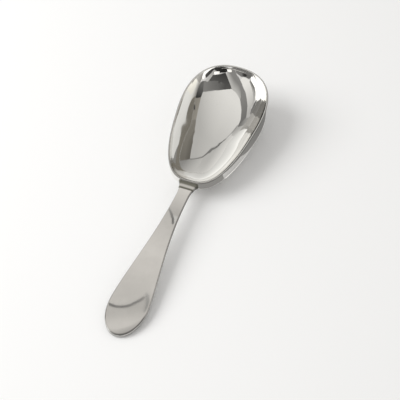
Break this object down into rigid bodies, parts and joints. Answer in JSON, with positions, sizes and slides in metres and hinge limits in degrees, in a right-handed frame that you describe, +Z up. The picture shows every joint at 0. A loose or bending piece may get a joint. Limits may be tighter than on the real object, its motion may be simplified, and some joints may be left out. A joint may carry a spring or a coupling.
{
  "type": "serving spoon",
  "caption": "Large all-metal spoon for serving risotto: deep egg-shaped bowl with steep walls and a flat handle that widens to a rounded end.",
  "frame": {"origin": "under the middle of the spoon's length, on the plane it rests on", "axes": "+Y along the spoon from the handle to the tip of the bowl, +Z up out of the bowl, +X to the right"},
  "size_m": [0.0682, 0.2502, 0.0342],
  "materials": {
    "bowl_steel": "mirror polished stainless steel",
    "handle_steel": "polished stainless steel, a little softer than the bowl",
    "weld_steel": "ground and polished stainless steel weld"
  },
  "bodies": {
    "root": {"bowl": "bowl_steel", "handle": "handle_steel", "neck_weld": "weld_steel"}
  },
  "joints": []
}
